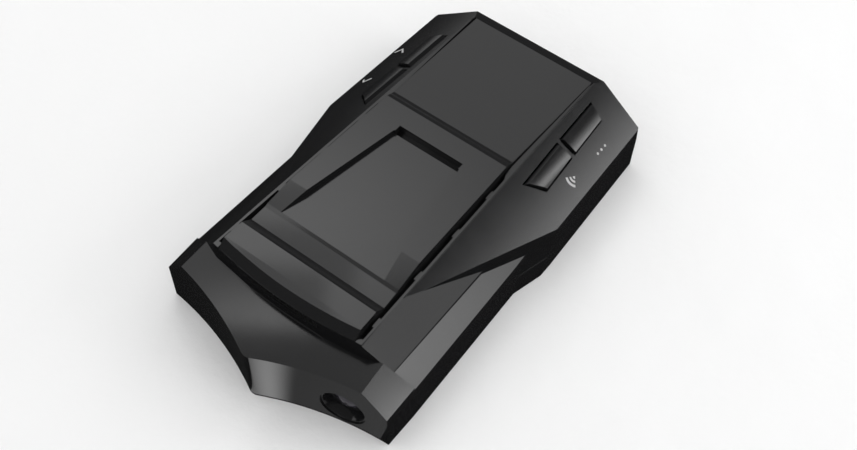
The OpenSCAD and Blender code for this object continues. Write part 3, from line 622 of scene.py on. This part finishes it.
class RADAR_OT_stage(bpy.types.Operator):
    """Sets the camera, the pale floor and the studio lights"""

    bl_idname = "radar.set_stage"
    bl_label = "Stage"

    CAMERA_AIM = (6.17 * MM, 7.76 * MM)     # the point of the floor that the camera looks at
    CAMERA_SHIFT = (-0.0128, 0.0033)        # how far the view is moved, as parts of its width
    SKY_GLOW = 1.06                         # strength of the white room
    REFLECTED_SKY = (0.015, 0.10)           # its strength in reflections, below and above
    HORIZON = (-0.25, 0.30)                 # heights of a reflected ray between which that changes
    JUST_OVER_FLOOR = 0.6 * MM

    def execute(self, context):
        settings = context.scene.radar_stage
        context.scene.view_settings.view_transform = "Standard"
        self.add_camera(context, settings)
        self.add_floor(settings)
        self.add_world(context)
        self.add_lights()
        return {"FINISHED"}

    def add_camera(self, context, settings):
        data = bpy.data.cameras.new("Camera")
        data.lens = settings.lens
        data.sensor_width = 36
        data.shift_x, data.shift_y = self.CAMERA_SHIFT
        data.clip_start = 0.01
        camera = bpy.data.objects.new("Camera", data)
        context.scene.collection.objects.link(camera)
        reach = settings.distance * math.cos(settings.elevation)
        aim = Vector((*self.CAMERA_AIM, 0))
        place = aim + Vector((reach * math.sin(settings.azimuth), -reach * math.cos(settings.azimuth),
                              settings.distance * math.sin(settings.elevation)))
        look = (aim - place).to_track_quat("-Z", "Y").to_matrix()
        turn = look @ Matrix.Rotation(settings.roll, 3, "Z")
        camera.matrix_world = Matrix.Translation(place) @ turn.to_4x4()
        context.scene.camera = camera

    def add_floor(self, settings):
        mesh = bmesh.new()
        bmesh.ops.create_grid(mesh, x_segments=4, y_segments=4, size=settings.floor_size / 2)
        floor = add_object("studio_floor", mesh)
        give(floor, speckled("Pale floor", settings.floor_colour, 0.8, 40 * MM, 0.01))
        floor.visible_glossy = False

    def add_world(self, context):
        """A white room for the eye and for soft light, and a dim one in reflections."""
        world = bpy.data.worlds.new("Studio")
        context.scene.world = world
        world.use_nodes = True
        tree = world.node_tree
        background = tree.nodes["Background"]
        background.inputs["Color"].default_value = (0.95, 0.95, 0.95, 1)
        background.inputs["Strength"].default_value = self.SKY_GLOW
        dim = tree.nodes.new("ShaderNodeBackground")
        dim.inputs["Color"].default_value = (1, 1, 1, 1)
        coords = tree.nodes.new("ShaderNodeTexCoord")
        split = tree.nodes.new("ShaderNodeSeparateXYZ")
        tree.links.new(coords.outputs["Generated"], split.inputs[0])
        tree.links.new(add_range(tree, split.outputs["Z"], *self.REFLECTED_SKY, *self.HORIZON),
                       dim.inputs["Strength"])
        rays = tree.nodes.new("ShaderNodeLightPath")
        mix = tree.nodes.new("ShaderNodeMixShader")
        tree.links.new(rays.outputs["Is Glossy Ray"], mix.inputs["Fac"])
        tree.links.new(background.outputs[0], mix.inputs[1])
        tree.links.new(dim.outputs[0], mix.inputs[2])
        tree.links.new(mix.outputs[0], tree.nodes["World Output"].inputs["Surface"])

    def add_lights(self):
        """Softboxes as glowing cards: each has an even base and brighter, soft-edged pools."""
        self.add_card("overhead_card", self.level(-0.234, -0.001, 0.5, turn=33),
                      (-0.45, 0.35), (0.0, 0.75), 0.95,
                      ((0.05, 0.19, 0.26, 0.26, 1.5), (0.01, 0.0, 0.10, 0.05, 1.1)))
        self.add_card("wing_card", self.level(0, 0, 0.5),
                      (0.49, 0.85), (0.30, 0.90), 0.12, ((0.69, 0.60, 0.175, 0.8, 7.5),))
        self.add_card("side_card", self.upright(x=0.6),
                      (0.02, 0.60), (0.03, 0.45), 1.3,
                      ((0.11, 0.12, 0.07, 0.075, 7.5), (0.22, 0.33, 0.3, 0.16, 3.0)))
        over_nose = self.level(-0.0543, -0.0478, 0.12, turn=31.3)
        self.add_card("nose_card", self.level(0, 0, self.JUST_OVER_FLOOR),
                      (-0.0010, 0.034), (-0.10, -0.040), 0.22, ((0.0042, -0.068, 0.0065, 0.05, 1.5),),
                      only_reflections=True)
        self.add_card("nose_bright_card", over_nose,
                      (-0.030, 0.045), (0.0, 0.045), 1.05, ((0.012, 0.0, 0.05, 0.024, 1.8),),
                      only_reflections=True)
        self.add_card("nose_dim_card", over_nose,
                      (-0.030, 0.065), (-0.030, 0.0), 0.5, ((0.06, -0.005, 0.04, 0.03, 0.2),),
                      only_reflections=True)
        self.add_card("left_floor_card", self.level(0, 0, self.JUST_OVER_FLOOR, turn=56),
                      (-0.06, 0.12), (0.165, 0.50), 0.02, ((0.035, 0.36, 0.13, 0.20, 1.0),),
                      only_reflections=True)
        self.add_card("front_card", self.upright(y=-0.9),
                      (-0.05, 0.80), (0.25, 0.80), 0.5, ((0.35, 0.5, 0.4, 0.3, 0.8),))
        self.add_card("left_card", self.upright(x=-0.9),
                      (-0.60, 0.05), (0.30, 0.80), 0.5, ((-0.3, 0.5, 0.3, 0.3, 0.8),))
        self.add_card("rear_card", self.upright(y=0.9),
                      (-0.10, 0.40), (0.25, 0.55), 0.4, ((0.15, 0.4, 0.25, 0.15, 0.5),))

    def level(self, x, y, z, turn=0):
        """Origin and two directions of a level card, turned by `turn` degrees about the vertical."""
        spin = Matrix.Rotation(math.radians(turn), 3, "Z")
        return Vector((x, y, z)), spin.col[0], spin.col[1]

    def upright(self, x=0, y=0):
        """Origin and two directions of an upright card that faces the object from one side."""
        along = Vector((0, 1, 0)) if x else Vector((1, 0, 0))
        return Vector((x, y, 0)), along, Vector((0, 0, 1))

    def add_card(self, name, place, across, along, base, pools, only_reflections=False):
        """A glowing card between two reaches each way, in metres along its two directions.

        A pool is (x, y, x radius, y radius, glow), in the card's own directions.
        """
        origin, right, up = place
        mesh = bmesh.new()
        (left, right_end), (near, far) = across, along
        corners = ((left, near), (right_end, near), (right_end, far), (left, far))
        mesh.faces.new([mesh.verts.new(origin + right * x + up * y) for x, y in corners])
        card = add_object(name, mesh)
        give(card, self.glow(name, origin, right, up, base, pools))
        card.visible_camera = False
        card.visible_shadow = False
        card.visible_diffuse = not only_reflections

    def glow(self, name, origin, right, up, base, pools):
        """A glow of even strength `base`, with each pool added to it."""
        material = bpy.data.materials.new(name)
        material.use_nodes = True
        tree = material.node_tree
        tree.nodes.clear()
        coords = tree.nodes.new("ShaderNodeTexCoord").outputs["Object"]
        total = None
        for x, y, radius_x, radius_y, strength in pools:
            squares = []
            for direction, middle, radius in ((right, x, radius_x), (up, y, radius_y)):
                dot = self.maths(tree, "DOT_PRODUCT", coords, direction / radius, vector=True)
                shift = (origin.dot(direction) + middle) / radius
                offset = self.maths(tree, "SUBTRACT", dot, shift)
                squares.append(self.maths(tree, "MULTIPLY", offset, offset))
            distance = self.maths(tree, "SQRT", self.maths(tree, "ADD", *squares))
            pool = tree.nodes.new("ShaderNodeMapRange")
            pool.interpolation_type = "SMOOTHSTEP"
            pool.inputs["From Min"].default_value = 1
            pool.inputs["From Max"].default_value = 0
            pool.inputs["To Max"].default_value = strength
            tree.links.new(distance, pool.inputs["Value"])
            total = self.maths(tree, "ADD", pool.outputs["Result"], base if total is None else total)
        emission = tree.nodes.new("ShaderNodeEmission")
        tree.links.new(total, emission.inputs["Strength"])
        output = tree.nodes.new("ShaderNodeOutputMaterial")
        tree.links.new(emission.outputs[0], output.inputs["Surface"])
        return material

    def maths(self, tree, operation, first, second=0, vector=False):
        """A maths node whose inputs are sockets or constants; returns its result."""
        node = tree.nodes.new("ShaderNodeVectorMath" if vector else "ShaderNodeMath")
        node.operation = operation
        for socket, value in zip(node.inputs, (first, second)):
            if isinstance(value, bpy.types.NodeSocket):
                tree.links.new(value, socket)
            else:
                socket.default_value = value
        return node.outputs["Value"]


class RADAR_PT_panel(bpy.types.Panel):
    """Lists the settings and the steps that build the detector"""

    bl_label = "Radar Detector"
    bl_idname = "RADAR_PT_panel"
    bl_space_type = "VIEW_3D"
    bl_region_type = "UI"
    bl_category = "Radar Detector"

    def draw(self, context):
        for group in (context.scene.radar_shell, context.scene.radar_marks,
                      context.scene.radar_glass, context.scene.radar_stage):
            box = self.layout.box()
            for key in group.__annotations__:
                box.prop(group, key)
        for operator in OPERATORS:
            self.layout.operator(operator.bl_idname)


OPERATORS = (
    RADAR_OT_case, RADAR_OT_plate, RADAR_OT_buttons, RADAR_OT_marks, RADAR_OT_lens,
    RADAR_OT_display, RADAR_OT_sockets, RADAR_OT_inner, RADAR_OT_stage,
)
GROUPS = {
    "radar_shell": ShellSettings,
    "radar_marks": MarkSettings,
    "radar_glass": GlassSettings,
    "radar_stage": StageSettings,
}


def register():
    for group in GROUPS.values():
        bpy.utils.register_class(group)
    for cls in OPERATORS + (RADAR_PT_panel,):
        bpy.utils.register_class(cls)
    for name, group in GROUPS.items():
        setattr(bpy.types.Scene, name, PointerProperty(type=group))


def unregister():
    for name in GROUPS:
        delattr(bpy.types.Scene, name)
    for cls in reversed(tuple(GROUPS.values()) + OPERATORS + (RADAR_PT_panel,)):
        bpy.utils.unregister_class(cls)


def main():
    register()
    for operator in OPERATORS:
        group, name = operator.bl_idname.split(".")
        getattr(getattr(bpy.ops, group), name)()


if __name__ == "__main__":
    main()
